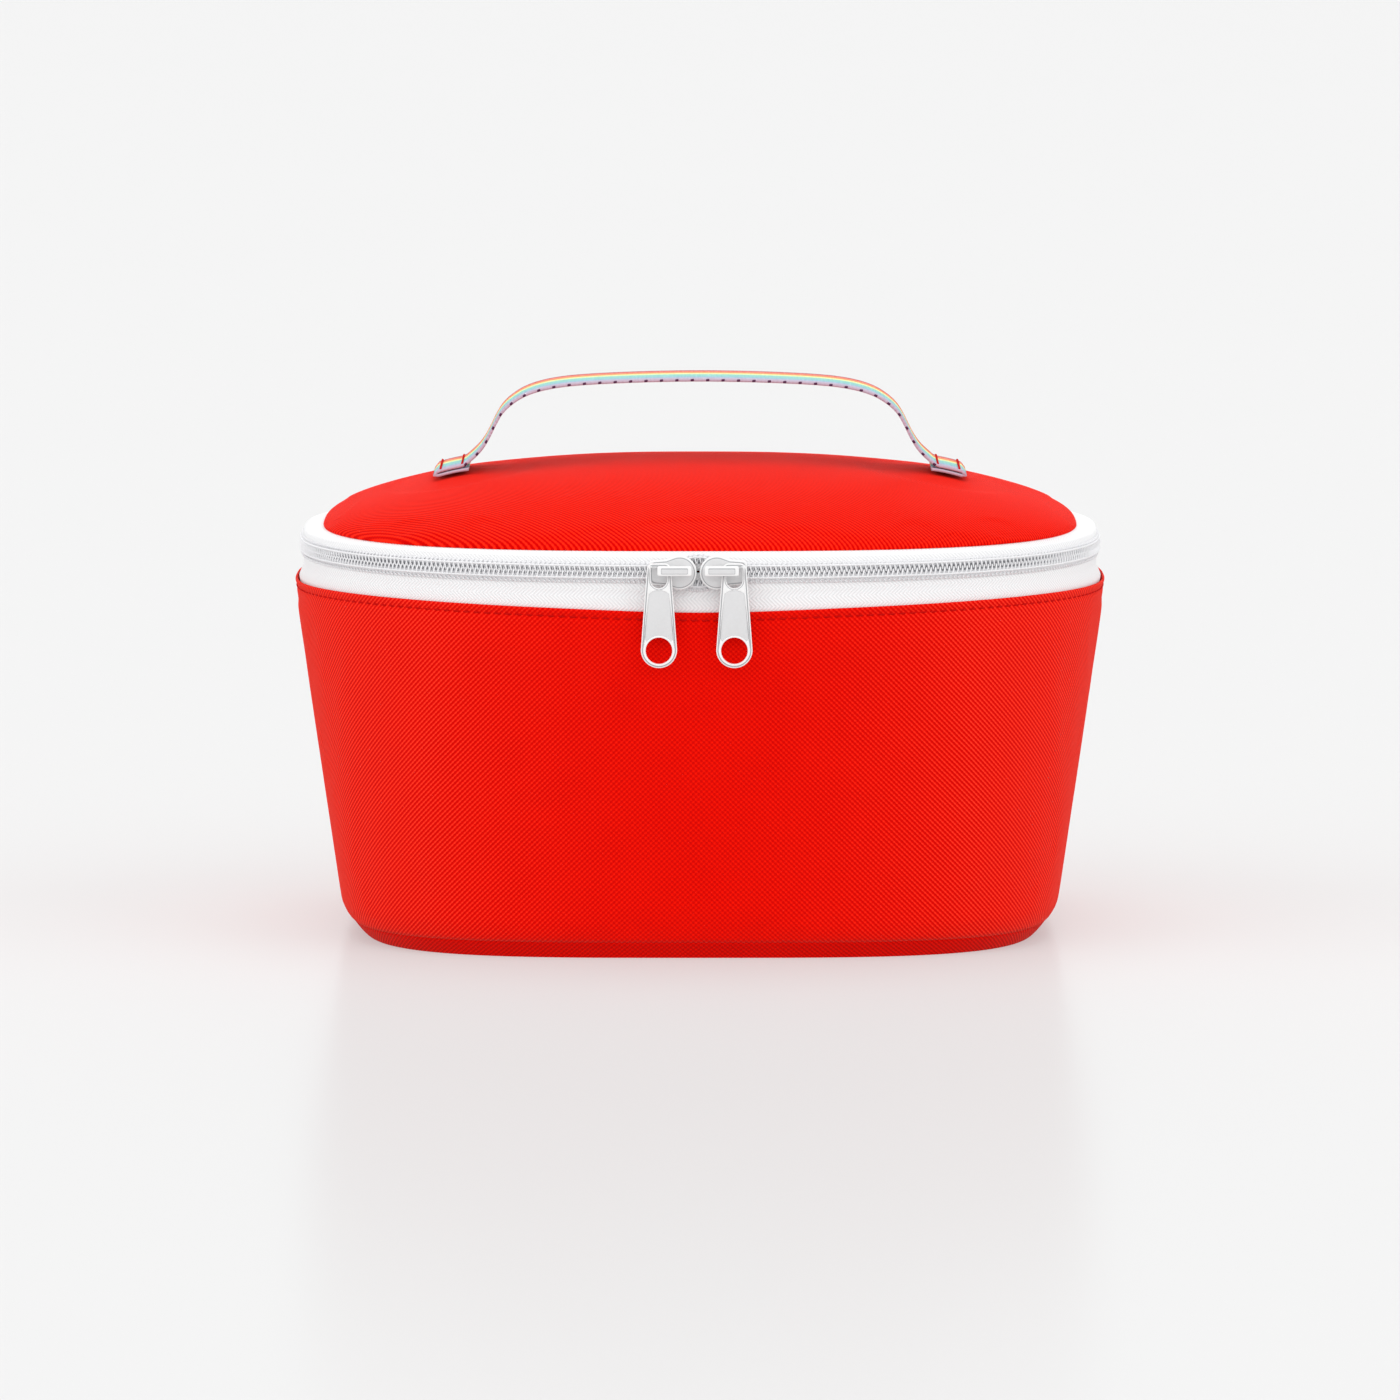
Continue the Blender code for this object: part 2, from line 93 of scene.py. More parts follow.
LEAN_REACH = 75 * MM             # distance from the wall's middle at which it does so fully, and at which the painted sheen on the cloth's crowns is full


# Camera.

def add_camera():
    """Long lens, three metres in front of the bag and about seven degrees above it."""
    data = bpy.data.cameras.new("camera")
    data.lens = 278.0
    data.sensor_width = 36.0
    data.clip_end = 60.0
    camera = bpy.data.objects.new("camera", data)
    bpy.context.scene.collection.objects.link(camera)
    camera.location = (0.0, -3.0, 0.407)
    aim = Vector((0.0, 0.0, 0.0615)) - camera.location
    camera.rotation_euler = aim.to_track_quat('-Z', 'Y').to_euler()
    bpy.context.scene.camera = camera


add_camera()


# Node helpers.

class Nodes:
    """Short calls for building one material's node tree."""

    def __init__(self, name, roughness, metallic=0.0, sheen=0.0):
        self.material = bpy.data.materials.new(name)
        self.material.use_nodes = True
        self.tree = self.material.node_tree
        self.shader = self.tree.nodes["Principled BSDF"]
        self.shader.inputs["Roughness"].default_value = roughness
        self.shader.inputs["Metallic"].default_value = metallic
        self.shader.inputs["Sheen Weight"].default_value = sheen

    def add(self, kind, **settings):
        node = self.tree.nodes.new(kind)
        for key, value in settings.items():
            setattr(node, key, value)
        return node

    def link(self, source, target):
        self.tree.links.new(source, target)

    def put(self, socket, value):
        if isinstance(value, (int, float, tuple)):
            socket.default_value = value
        else:
            self.link(value, socket)

    def math(self, operation, first, second=None, third=None):
        node = self.add("ShaderNodeMath", operation=operation)
        for socket, value in zip(node.inputs, (first, second, third)):
            if value is not None:
                self.put(socket, value)
        return node.outputs[0]

    def uv(self):
        """Distances along and across the cloth, in metres."""
        pin = self.add("ShaderNodeUVMap", uv_map="weave")
        split = self.add("ShaderNodeSeparateXYZ")
        self.link(pin.outputs["UV"], split.inputs[0])
        return split.outputs["X"], split.outputs["Y"]

    def noise(self, scale, detail, distortion=0.0):
        place = self.add("ShaderNodeTexCoord")
        node = self.add("ShaderNodeTexNoise")
        node.inputs["Scale"].default_value = scale
        node.inputs["Detail"].default_value = detail
        node.inputs["Distortion"].default_value = distortion
        self.link(place.outputs["Object"], node.inputs["Vector"])
        return node.outputs["Fac"]

    def mix(self, factor, first, second):
        node = self.add("ShaderNodeMix", data_type='RGBA')
        self.put(node.inputs["Factor"], factor)
        self.put(node.inputs["A"], first)
        self.put(node.inputs["B"], second)
        return node.outputs["Result"]

    def ramp(self, factor, stops, interpolation='LINEAR'):
        node = self.add("ShaderNodeValToRGB")
        ramp = node.color_ramp
        ramp.interpolation = interpolation
        while len(ramp.elements) < len(stops):
            ramp.elements.new(1.0)
        for element, (place, colour) in zip(ramp.elements, stops):
            element.position = place
            element.color = colour
        self.link(factor, node.inputs["Fac"])
        return node.outputs["Color"]

    def bump(self, height, distance, strength=1.0):
        node = self.add("ShaderNodeBump")
        node.inputs["Distance"].default_value = distance
        node.inputs["Strength"].default_value = strength
        self.link(height, node.inputs["Height"])
        self.link(node.outputs["Normal"], self.shader.inputs["Normal"])

    def colour(self, value):
        self.put(self.shader.inputs["Base Color"], value)


def rgb(red, green, blue):
    """Linear colour from a screen colour of 0 to 255."""
    linear = []
    for value in (red, green, blue):
        share = value / 255
        linear.append(share / 12.92 if share <= 0.04045 else ((share + 0.055) / 1.055) ** 2.4)
    return (*linear, 1.0)


def woven_threads(nodes, pitch, side):
    """Two crossing sets of ribs, 0 at the gaps and 1 on the crowns. A side other than 0 favours one set."""
    along, across = nodes.uv()
    turn = math.pi / pitch
    first = nodes.math('COSINE', nodes.math('MULTIPLY', nodes.math('SUBTRACT', along, across), turn))
    second = nodes.math('COSINE', nodes.math('MULTIPLY', nodes.math('ADD', along, across), turn))
    ribs = nodes.math('MULTIPLY', first, nodes.math('ADD', side, 0.5))
    woven = nodes.math('MULTIPLY_ADD', second, nodes.math('SUBTRACT', side, 0.5), ribs)
    smooth = nodes.add("ShaderNodeMapRange", interpolation_type='SMOOTHSTEP')
    nodes.link(woven, smooth.inputs["Value"])
    smooth.inputs["From Min"].default_value = -0.8
    smooth.inputs["From Max"].default_value = 0.8
    return smooth.outputs["Result"]


def canvas_material(name, gap, top, painted_sheen, relief=0.15 * MM, fuzz=0.09, turned=0.0):
    """Woven cloth with bright crowns over dark gaps: the gap colour is painted shade, and a paler colour on
    the crowns is painted sheen.

    Ribs show more toward each side of the middle, or all lean one way by the given turn. The painted sheen
    grows toward each side of the middle likewise, or lies on all the crowns where the ribs all lean one
    way.
    """
    nodes = Nodes(name, 0.85, sheen=fuzz)
    nodes.shader.inputs["Sheen Roughness"].default_value = 0.5
    nodes.shader.inputs["Sheen Tint"].default_value = (1.0, 0.7, 0.55, 1.0)
    nodes.shader.inputs["Specular IOR Level"].default_value = 0.02
    # Share of painted sheen on the crowns: full where the ribs all lean one way, otherwise growing toward
    # each side of the middle.
    if turned:
        side, painted_sheen_share = turned, 1.0
    else:
        along, _ = nodes.uv()
        side = nodes.math('DIVIDE', along, LEAN_REACH)
        side = nodes.math('MINIMUM', nodes.math('MAXIMUM', side, -1.0), 1.0)
        painted_sheen_share = nodes.math('POWER', nodes.math('ABSOLUTE', side), 2.0)
        side = nodes.math('MULTIPLY', side, -LEAN)
    height = woven_threads(nodes, WEAVE_PITCH, side)
    cloud = nodes.math('MULTIPLY_ADD', nodes.noise(60.0, 4.0), 0.5, -0.25)
    share = nodes.math('MULTIPLY_ADD', nodes.noise(2600.0, 1.0), 0.5, -0.25)
    share = nodes.math('ADD', nodes.math('ADD', height, share), nodes.math('MULTIPLY', cloud, 0.6))
    # Painted light: the gap colour is painted shade in the weave's gaps, and the highest crowns turn to the
    # painted sheen colour.
    painted_sheen_mask = nodes.math('MULTIPLY', nodes.math('POWER', height, 4.0), painted_sheen_share)
    nodes.colour(nodes.mix(painted_sheen_mask, nodes.mix(share, gap, top), painted_sheen))
    nodes.bump(height, relief)
    return nodes.material


def tape_material(name, dark, light):
    """Narrow tape with a herringbone of fine slanting ribs."""
    nodes = Nodes(name, 0.7, sheen=0.02)
    nodes.shader.inputs["Specular IOR Level"].default_value = 0.2
    along, across = nodes.uv()
    repeat = nodes.math('FRACT', nodes.math('DIVIDE', across, 4.4 * MM))
    zigzag = nodes.math('ABSOLUTE', nodes.math('SUBTRACT', repeat, 0.5))
    slant = nodes.math('MULTIPLY_ADD', zigzag, 4.4, nodes.math('DIVIDE', along, 1.1 * MM))
    rib = nodes.math('SINE', nodes.math('MULTIPLY', slant, 2 * math.pi))
    share = nodes.math('MULTIPLY_ADD', rib, 0.5, 0.5)
    nodes.colour(nodes.mix(share, dark, light))
    nodes.bump(rib, 0.05 * MM, 0.6)
    return nodes.material


def painted_shade_bed_material(name, dark, light):
    """Zip ground: grey behind the teeth as painted shade between the coil's turns, the tape's own white
    behind the stitches further out.
    """
    nodes = Nodes(name, 0.8)
    nodes.shader.inputs["Specular IOR Level"].default_value = 0.1
    along, across = nodes.uv()
    out_of_shade = nodes.add("ShaderNodeMapRange", interpolation_type='SMOOTHSTEP')
    nodes.link(across, out_of_shade.inputs["Value"])
    out_of_shade.inputs["From Min"].default_value = 0.8 * MM
    out_of_shade.inputs["From Max"].default_value = 1.3 * MM
    rib = nodes.math('SINE', nodes.math('MULTIPLY', along, 2 * math.pi / (0.68 * MM)))
    # Painted shade: dark grey within the coil's reach, the tape's white further out.
    nodes.colour(nodes.mix(out_of_shade.outputs["Result"], dark, light))
    nodes.bump(rib, 0.04 * MM, 0.6)
    return nodes.material


def darker(colour, share):
    return (*(share * value for value in colour[:3]), 1.0)


def plastic_material(name, colour, roughness):
    nodes = Nodes(name, roughness)
    speck = nodes.noise(1500.0, 2.0)
    nodes.colour(nodes.mix(speck, colour, darker(colour, 0.93)))
    nodes.bump(speck, 0.02 * MM, 0.3)
    return nodes.material


def foil_material(name):
    nodes = Nodes(name, 0.32, metallic=0.85)
    crinkle = nodes.noise(120.0, 5.0, 0.6)
    fine = nodes.noise(900.0, 2.0)
    nodes.colour(nodes.mix(crinkle, rgb(196, 200, 206), rgb(232, 234, 238)))
    nodes.bump(nodes.math('MULTIPLY_ADD', fine, 0.15, crinkle), 0.9 * MM, 0.7)
    return nodes.material


def thread_material(name, colour):
    nodes = Nodes(name, 0.8)
    nodes.shader.inputs["Specular IOR Level"].default_value = 0.1
    twist = nodes.noise(3000.0, 1.0)
    nodes.colour(nodes.mix(twist, colour, darker(colour, 0.75)))
    nodes.bump(twist, 0.05 * MM, 0.6)
    return nodes.material


def foam_material(name):
    nodes = Nodes(name, 0.9)
    cells = nodes.noise(1800.0, 2.0)
    nodes.colour(nodes.mix(cells, rgb(214, 214, 210), rgb(240, 240, 236)))
    nodes.bump(cells, 0.2 * MM, 0.6)
    return nodes.material


def webbing_material(name):
    """Striped webbing: the colours run across it from the back edge to the front edge."""
    nodes = Nodes(name, 0.75, sheen=0.03)
    nodes.shader.inputs["Specular IOR Level"].default_value = 0.1
    along, across = nodes.uv()
    share = nodes.math('DIVIDE', across, 2 * STRAP_HALF_WIDTH)
    stripes = (
        (0.00, rgb(130, 10, 18)),
        (0.04, rgb(222, 34, 28)),
        (0.13, rgb(236, 112, 40)),
        (0.30, rgb(250, 224, 110)),
        (0.38, rgb(206, 236, 170)),
        (0.48, rgb(116, 200, 190)),
        (0.70, rgb(124, 182, 200)),
        (0.84, rgb(172, 166, 196)),
        (0.94, rgb(186, 168, 190)),
    )
    colour = nodes.ramp(share, stripes, 'CONSTANT')
    rib = nodes.math('SINE', nodes.math('MULTIPLY', along, 2 * math.pi / (1.1 * MM)))
    warp = nodes.math('SINE', nodes.math('MULTIPLY', across, 2 * math.pi / (1.4 * MM)))
    weave = nodes.math('MULTIPLY', rib, warp)
    # Whitish mix over the stripes, stronger on the weave's raised crossings: painted sheen.
    shade = nodes.math('MULTIPLY_ADD', weave, 0.12, 0.14)
    nodes.colour(nodes.mix(shade, colour, rgb(244, 238, 236)))
    nodes.bump(nodes.math('MULTIPLY_ADD', rib, 0.6, weave), 0.1 * MM, 0.7)
    return nodes.material


MATERIALS = {
    "canvas": canvas_material("canvas", rgb(216, 1, 0), rgb(248, 18, 1), rgb(255, 52, 32)),
    # The lid's copy of the red cloth in its own painted light: darker gaps of painted shade, and painted
    # sheen on all its crowns.
    "lid": canvas_material(
        "lid", rgb(206, 0, 0), rgb(248, 18, 2), rgb(250, 38, 16),
        relief=0.08 * MM, fuzz=0.04, turned=-LEAN),
    # The base is the same red cloth, darker as painted shade on its underside.
    "base": canvas_material("base", rgb(192, 1, 0), rgb(228, 12, 1), rgb(228, 12, 1)),
    "tape": tape_material("tape", rgb(228, 228, 229), rgb(247, 247, 248)),
    # Grey zip ground behind the teeth: painted shade between the coil's turns.
    "painted_shade_bed": painted_shade_bed_material("painted_shade_bed", rgb(158, 159, 163), rgb(240, 240, 242)),
    "coil": plastic_material("coil", rgb(244, 244, 246), 0.4),
    "thread_white": thread_material("thread_white", rgb(246, 246, 248)),
    "thread_red": thread_material("thread_red", rgb(206, 6, 2)),
    "thread_plum": thread_material("thread_plum", rgb(92, 50, 84)),
    "plastic": plastic_material("plastic", rgb(246, 246, 246), 0.4),
    # Greys of painted shade: the recessed panels and the grooves of sliders and pulls.
    "plastic_painted_shade": plastic_material("plastic_painted_shade", rgb(222, 222, 223), 0.45),
    "groove_painted_shade": plastic_material("groove_painted_shade", rgb(170, 171, 174), 0.5),
    "foil": foil_material("foil"),
    "binding": canvas_material("binding", rgb(160, 5, 2), rgb(206, 20, 10), rgb(206, 20, 10)),
    "foam": foam_material("foam"),
    "webbing": webbing_material("webbing"),
}


# Outlines.

def reach(a, b, n, angle):
    """Distance from the centre to a superellipse in a direction in degrees; arrays work too."""
    turn = np.radians(angle)
    return (np.abs(np.cos(turn) / a) ** n + np.abs(np.sin(turn) / b) ** n) ** (-1 / n)


def outline(a, b, n, angles):
    """Points of a superellipse in the directions given."""
    turn = np.radians(angles)
    distance = reach(a, b, n, angles)
    return np.stack([distance * np.cos(turn), distance * np.sin(turn)], axis=-1)


def ring(section, angles, z_shift=0.0):
    """Points in space of a section, which is a half width, a half depth, a power and a height."""
    a, b, n, z = section
    flat = outline(a, b, n, angles)
    return np.concatenate([flat, np.full((len(angles), 1), z) + np.reshape(z_shift, (-1, 1))], axis=1)


def wall_section(z, inset=0.0):
    """The wall's outer face at a height; below the taper it draws in toward the seam."""
    share = (z - TAPER_Z) / (RIM_Z - TAPER_Z)
    a = TAPER_A + (RIM_A - TAPER_A) * share
    b = TAPER_B + (RIM_B - TAPER_B) * share
    n = BASE_N + (RIM_N - BASE_N) * max(0.0, share)
    if z < TAPER_Z:
        drop = (TAPER_Z - z) / (TAPER_Z - SEAM_Z)
        a -= SEAM_DRAW_A * drop ** 2
        b -= SEAM_DRAW_B * drop ** 2
    return a - inset, b - inset, n, z


def zip_section(z):
    return ZIP_A, ZIP_B, ZIP_N, z


def edge_sections(z, shares):
    """Sections between the zip's oval at a height and the edge inside the lid, at shares of the way."""
    low = np.array(zip_section(z))
    top = np.array([LID_A - LID_EDGE_INSET, LID_B - LID_EDGE_INSET, LID_N, LID_Z + 0.2 * MM])
    return [tuple(low + (top - low) * share) for share in shares]


def full_turn(count):
    """Directions all the way round, from the back centre to the back centre."""
    return np.linspace(BACK, BACK + 360, count + 1)


def zip_run(count):
    return np.linspace(BACK + HINGE_HALF_TURN, BACK + 360 - HINGE_HALF_TURN, count + 1)


def hinge_run(count):
    """The stretch between the zip's ends, a hair narrower."""
    half = HINGE_HALF_TURN - 0.3
    return np.linspace(BACK - half, BACK + half, count + 1)


def rim_wave(angles):
    """The rim dips at the front centre and lifts a little at the corners."""
    off = np.abs((angles - FRONT + 180) % 360 - 180)
    dip = -1.1 * MM * np.exp(-(off / 20) ** 2)
    lift = 0.7 * MM * np.exp(-((off - 56) / 24) ** 2)
    return dip + lift


def smooth_step(low, high, value):
    share = np.clip((value - low) / (high - low), 0, 1)
    return share * share * (3 - 2 * share)


def wobble(points, size, scale, seed):
    """Soft uneven offsets for cloth, one number for each point."""
    shift = Vector((seed * 7.31, seed * 3.17, seed * 1.93))
    flat = points.reshape(-1, 3)
    values = [noise.noise(Vector(point) * scale + shift) for point in flat]
    return np.array(values).reshape(points.shape[:-1]) * size


# Meshes.

def grid_mesh(name, points, closed=False):
    """Sheet through rows of points, with a UV map in metres that is zero at the middle of each row.

    A closed sheet's rows end where they began.
    """
    rows, columns = points.shape[:2]
    along = np.linalg.norm(np.diff(points, axis=1), axis=2)
    along = np.concatenate([np.zeros((rows, 1)), np.cumsum(along, axis=1)], axis=1)
    along -= along[:, -1:] / 2
    across = np.linalg.norm(np.diff(points, axis=0), axis=2)
    across = np.concatenate([np.zeros((1, columns)), np.cumsum(across, axis=0)], axis=0)
    across = np.repeat(across.mean(axis=1, keepdims=True), columns, axis=1)
    used = columns - 1 if closed else columns
    corner = np.arange(rows * columns).reshape(rows, columns)
    low = corner[:-1, :-1]
    faces = np.stack([low, corner[:-1, 1:], corner[1:, 1:], corner[1:, :-1]], axis=-1)
    faces = faces.reshape(-1, 4)
    row_of, column_of = faces // columns, faces % columns
    index = row_of * used + column_of % used
    data = bpy.data.meshes.new(name)
    data.from_pydata(points[:, :used].reshape(-1, 3).tolist(), [], index.tolist())
    layer = data.uv_layers.new(name="weave")
    flat = np.stack([along.reshape(-1)[faces], across.reshape(-1)[faces]], axis=-1)
    layer.data.foreach_set("uv", flat.reshape(-1).astype(np.float32))
    data.shade_smooth()
    return data


def add_piece(name, data, material, body, replaces=()):
    piece = bpy.data.objects.new(name, data)
    bpy.context.scene.collection.objects.link(piece)
    if not data.materials:
        data.materials.append(MATERIALS[material])
    if body:
        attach(piece, body)
    if replaces:
        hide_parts(*replaces)
    return piece


def thicken(piece, thickness, offset=-1.0, even=True):
    """Give a sheet its thickness, inward unless the offset says otherwise."""
    shell = piece.modifiers.new("thickness", 'SOLIDIFY')
    shell.thickness = thickness
    shell.offset = offset
    shell.use_even_offset = even
    shell.thickness_clamp = 1.0 if even else 0.0


def apply_modifiers(piece):
    """Blended pieces are finished meshes, so their thickness is made real."""
    bpy.context.view_layer.update()
    evaluated = piece.evaluated_get(bpy.context.evaluated_depsgraph_get())
    data = bpy.data.meshes.new_from_object(evaluated)
    piece.modifiers.clear()
    piece.data = data


def join_meshes(name, parts):
    """One mesh from several, each a tuple of a mesh and a matrix."""
    target = bmesh.new()
    materials = []
    for data, matrix in parts:
        copy = data.copy()
        copy.transform(matrix)
        material = data.materials[0]
        if material not in materials:
            materials.append(material)
        before = len(target.faces)
        target.from_mesh(copy)
        target.faces.ensure_lookup_table()
        for face in target.faces[before:]:
            face.material_index = materials.index(material)
        bpy.data.meshes.remove(copy)
    result = bpy.data.meshes.new(name)
    target.to_mesh(result)
    target.free()
    for material in materials:
        result.materials.append(material)
    return result


def face_outward(data):
    """Turn every face outward and shade smoothly."""
    mesh = bmesh.new()
    mesh.from_mesh(data)
    bmesh.ops.recalc_face_normals(mesh, faces=mesh.faces)
    mesh.to_mesh(data)
    mesh.free()
    data.shade_smooth()


def fill_middle(data):
    """Close the small hole that rows of shrinking ovals leave, and return the open bmesh."""
    mesh = bmesh.new()
    mesh.from_mesh(data)
    hole = [
        edge for edge in mesh.edges
        if edge.is_boundary and max(vertex.co.xy.length for vertex in edge.verts) < 20 * MM
    ]
    bmesh.ops.holes_fill(mesh, edges=hole, sides=0)
    return mesh


def tube_mesh(name, line, radius, sides):
    """Round tube along a dense line, made directly because it can have thousands of points."""
    line = np.asarray(line)
    tangent = np.gradient(line, axis=0)
    tangent /= np.linalg.norm(tangent, axis=1, keepdims=True)
    guide = np.cross(tangent, np.roll(tangent, -1, axis=0))
    guide[-1] = guide[-2]
    size = np.linalg.norm(guide, axis=1, keepdims=True)
    fallback = np.cross(tangent, np.array([0.12, 0.31, 0.95]))
    guide = np.where(size > 1e-9, guide / np.maximum(size, 1e-9), fallback)
    guide /= np.linalg.norm(guide, axis=1, keepdims=True)
    for index in range(1, len(guide)):
        if np.dot(guide[index], guide[index - 1]) < 0:
            guide[index] *= -1
    side = np.cross(tangent, guide)
    turns = np.arange(sides) * 2 * math.pi / sides
    circle = np.cos(turns)[:, None] * guide[:, None] + np.sin(turns)[:, None] * side[:, None]
    points = (line[:, None] + radius * circle).reshape(-1, 3)
    count = len(line)
    grid = np.arange(count * sides).reshape(count, sides)
    after = np.roll(grid, -1, axis=1)
    faces = np.stack([grid[:-1], after[:-1], after[1:], grid[1:]], axis=-1).reshape(-1, 4).tolist()
    faces.append(grid[0, ::-1].tolist())
    faces.append(grid[-1].tolist())
    data = bpy.data.meshes.new(name)
    data.from_pydata(points.tolist(), [], faces)
    data.validate()
    face_outward(data)
    return data


def interpolate(places, known, values):
    return np.stack([np.interp(places, known, column) for column in values.T], axis=1)


def resample(line, step):
    """Points at equal distances along a line, with the distance of each."""
    length = np.concatenate([[0], np.cumsum(np.linalg.norm(np.diff(line, axis=0), axis=1))])
    count = max(2, int(round(length[-1] / step)) + 1)
    places = np.linspace(0, length[-1], count)
    return interpolate(places, length, line), places


def outward(line):
    """Level normals of a line that runs anticlockwise seen from above, pointing away from the middle."""
    tangent = np.gradient(line, axis=0)
    normal = np.stack([tangent[:, 1], -tangent[:, 0], np.zeros(len(line))], axis=1)
    return normal / np.linalg.norm(normal, axis=1, keepdims=True)


def stitches(name, line, normal, length, gap, radius, proud, slant=0.0):
    """A row of short raised stitches along a line, their middles proud of it along the normals."""
    spaced, places = resample(line, length + gap)
    facing = interpolate(places, np.linspace(0, places[-1], len(normal)), normal)
    facing /= np.linalg.norm(facing, axis=1, keepdims=True)
    tangent = np.gradient(spaced, axis=0)
    tangent /= np.linalg.norm(tangent, axis=1, keepdims=True)
    upward = np.cross(facing, tangent)
    bends = np.linspace(-1, 1, 5)
    sides = 6
    turns = np.arange(sides) * 2 * math.pi / sides
    points, faces = [], []
    for place, out, run, up in zip(spaced, facing, tangent, upward):
        start = len(points)
        for bend in bends:
            width = radius * max(0.25, math.sqrt(1 - bend ** 4))
            rise = proud - radius * 0.9 * bend ** 4
            centre = place + (run + up * slant) * bend * length / 2 + out * rise
            for turn in turns:
                points.append(centre + width * (math.cos(turn) * out + math.sin(turn) * up))
        for row in range(len(bends) - 1):
            low = start + row * sides
            for k in range(sides):
                after = (k + 1) % sides
                faces.append((low + k, low + after, low + sides + after, low + sides + k))
        faces.append(tuple(start + k for k in reversed(range(sides))))
        faces.append(tuple(start + (len(bends) - 1) * sides + k for k in range(sides)))
    data = bpy.data.meshes.new(name)
    data.from_pydata([tuple(point) for point in points], [], faces)
    face_outward(data)
    return data


# Cloth simulation.

CLOTH_FRAMES = 20


def inflate(piece, pinned, pressure, cap, slack):
    """Press the sheet outward as filled cloth, its pinned points held, and keep each point within a cap."""
    start = np.array([vertex.co for vertex in piece.data.vertices])
    group = piece.vertex_groups.new(name="pinned")
    group.add([int(index) for index in pinned], 1.0, 'REPLACE')
    cloth = piece.modifiers.new("cloth", 'CLOTH')
    settings = cloth.settings
    settings.vertex_group_mass = "pinned"
    settings.use_pressure = True
    settings.uniform_pressure_force = pressure
    settings.shrink_min = -slack
    settings.quality = 6
    settings.mass = 0.3
    settings.tension_stiffness = 40
    settings.compression_stiffness = 40
    settings.bending_stiffness = 4
    settings.effector_weights.gravity = 0.0
    cloth.point_cache.frame_start = 1
    cloth.point_cache.frame_end = CLOTH_FRAMES
    scene = bpy.context.scene
    for number in range(1, CLOTH_FRAMES + 1):
        scene.frame_set(number)
    evaluated = piece.evaluated_get(bpy.context.evaluated_depsgraph_get())
    moved = np.array([vertex.co for vertex in evaluated.data.vertices])
    piece.modifiers.remove(cloth)
    piece.vertex_groups.clear()
    scene.frame_set(1)
    shift = moved - start
    normal = np.array([vertex.normal for vertex in piece.data.vertices])
    out = np.sum(shift * normal, axis=1, keepdims=True)
    shift = normal * np.tanh(np.maximum(out, 0.0) / cap) * cap
    piece.data.vertices.foreach_set("co", (start + shift).reshape(-1).astype(np.float32))
    piece.data.update()


# Body.

def build_wall():
    """Wall cloth from the base seam to the rim, where its hem rolls in over a row of stitches."""
    angles = full_turn(320)
    hem_rows = 13
    levels = np.concatenate([
        np.linspace(SEAM_Z + 0.05 * MM, TAPER_Z, 6)[:-1],
        np.linspace(TAPER_Z, RIM_Z - TAPE_TUCK, 40)[:-1],
        np.linspace(RIM_Z - TAPE_TUCK, RIM_Z - 0.4 * MM, hem_rows),
    ])
    rows = []
    for z in levels:
        share = smooth_step(RIM_Z - 30 * MM, RIM_Z, z)
        row = ring(wall_section(z), angles, rim_wave(angles) * share)
        stitch_dent = -0.35 * MM * math.exp(-((z - RIM_Z + TOPSTITCH_DROP) / (0.7 * MM)) ** 2)
        edge_roll = -0.9 * MM * max(0.0, (z - RIM_Z) / MM + 1.0) ** 2
        row += outward(row) * (stitch_dent + edge_roll)
        rows.append(row)
    points = np.array(rows)
    points[:, -1] = points[:, 0]
    data = grid_mesh("wall_canvas", points, closed=True)
    piece = add_piece("wall_canvas", data, "canvas", "pouch", ["wall_panel"])
    count = len(angles) - 1
    total = len(levels) * count
    pinned = [*range(count), *range(total - hem_rows * count, total)]
    inflate(piece, pinned, pressure=1.2, cap=0.5 * MM, slack=0.004)
    thicken(piece, CANVAS)
    line = ring(wall_section(RIM_Z - TOPSTITCH_DROP), angles, rim_wave(angles))
    data = stitches(
        "rim_topstitch", line, outward(line),
        length=2.3 * MM, gap=0.7 * MM, radius=0.22 * MM, proud=-0.18 * MM)
    add_piece("rim_topstitch", data, "thread_red", "pouch")


def build_base():
    """Base cloth: it tucks up behind the wall's lower edge, rolls under and crosses the floor."""
    angles = full_turn(320)
    edge = np.array(wall_section(SEAM_Z)[:2])
    above = np.array(wall_section(SEAM_Z + MM)[:2])
    floor = np.array([FLOOR_A, FLOOR_B])
    bend = edge - (above - edge) * SEAM_Z / MM
    rows = [ring((*(edge - 0.5 * MM), BASE_N, SEAM_Z + 1.2 * MM), angles)]
    for t in np.linspace(0, 1, 12):
        a, b = (1 - t) ** 2 * edge + 2 * t * (1 - t) * bend + t ** 2 * floor
        rows.append(ring((a, b, BASE_N, SEAM_Z * (1 - t) ** 2), angles))
    for share in np.linspace(0.96, 0.02, 14):
        rows.append(ring((FLOOR_A * share, FLOOR_B * share, BASE_N, 0.0), angles))
    points = np.array(rows)[::-1]
    points[:, -1] = points[:, 0]
    data = grid_mesh("base_canvas", points, closed=True)
    mesh = fill_middle(data)
    flat = mesh.loops.layers.uv["weave"]
    for face in mesh.faces:
        if max(vertex.co.z for vertex in face.verts) < 1e-6:
            for loop in face.loops:
                loop[flat].uv = loop.vert.co.xy
    mesh.to_mesh(data)
    mesh.free()
    data.shade_smooth()
    # The base cloth's darker red is painted shade under the bag.
    piece = add_piece("base_canvas", data, "base", "pouch", ["base_panel"])
    thicken(piece, CANVAS)


def band(name, rows, thickness, material, body, replaces):
    """A strip of cloth through rows of points."""
    piece = add_piece(name, grid_mesh(name, np.array(rows)), material, body, replaces)
    thicken(piece, thickness)
    return piece


def tucked_sections():
    """The stretch behind the wall's hem, where tape and hinge are sewn in."""
    return [wall_section(z, TAPE_INSET) for z in np.linspace(RIM_Z - TAPE_TUCK, RIM_Z, 5)]


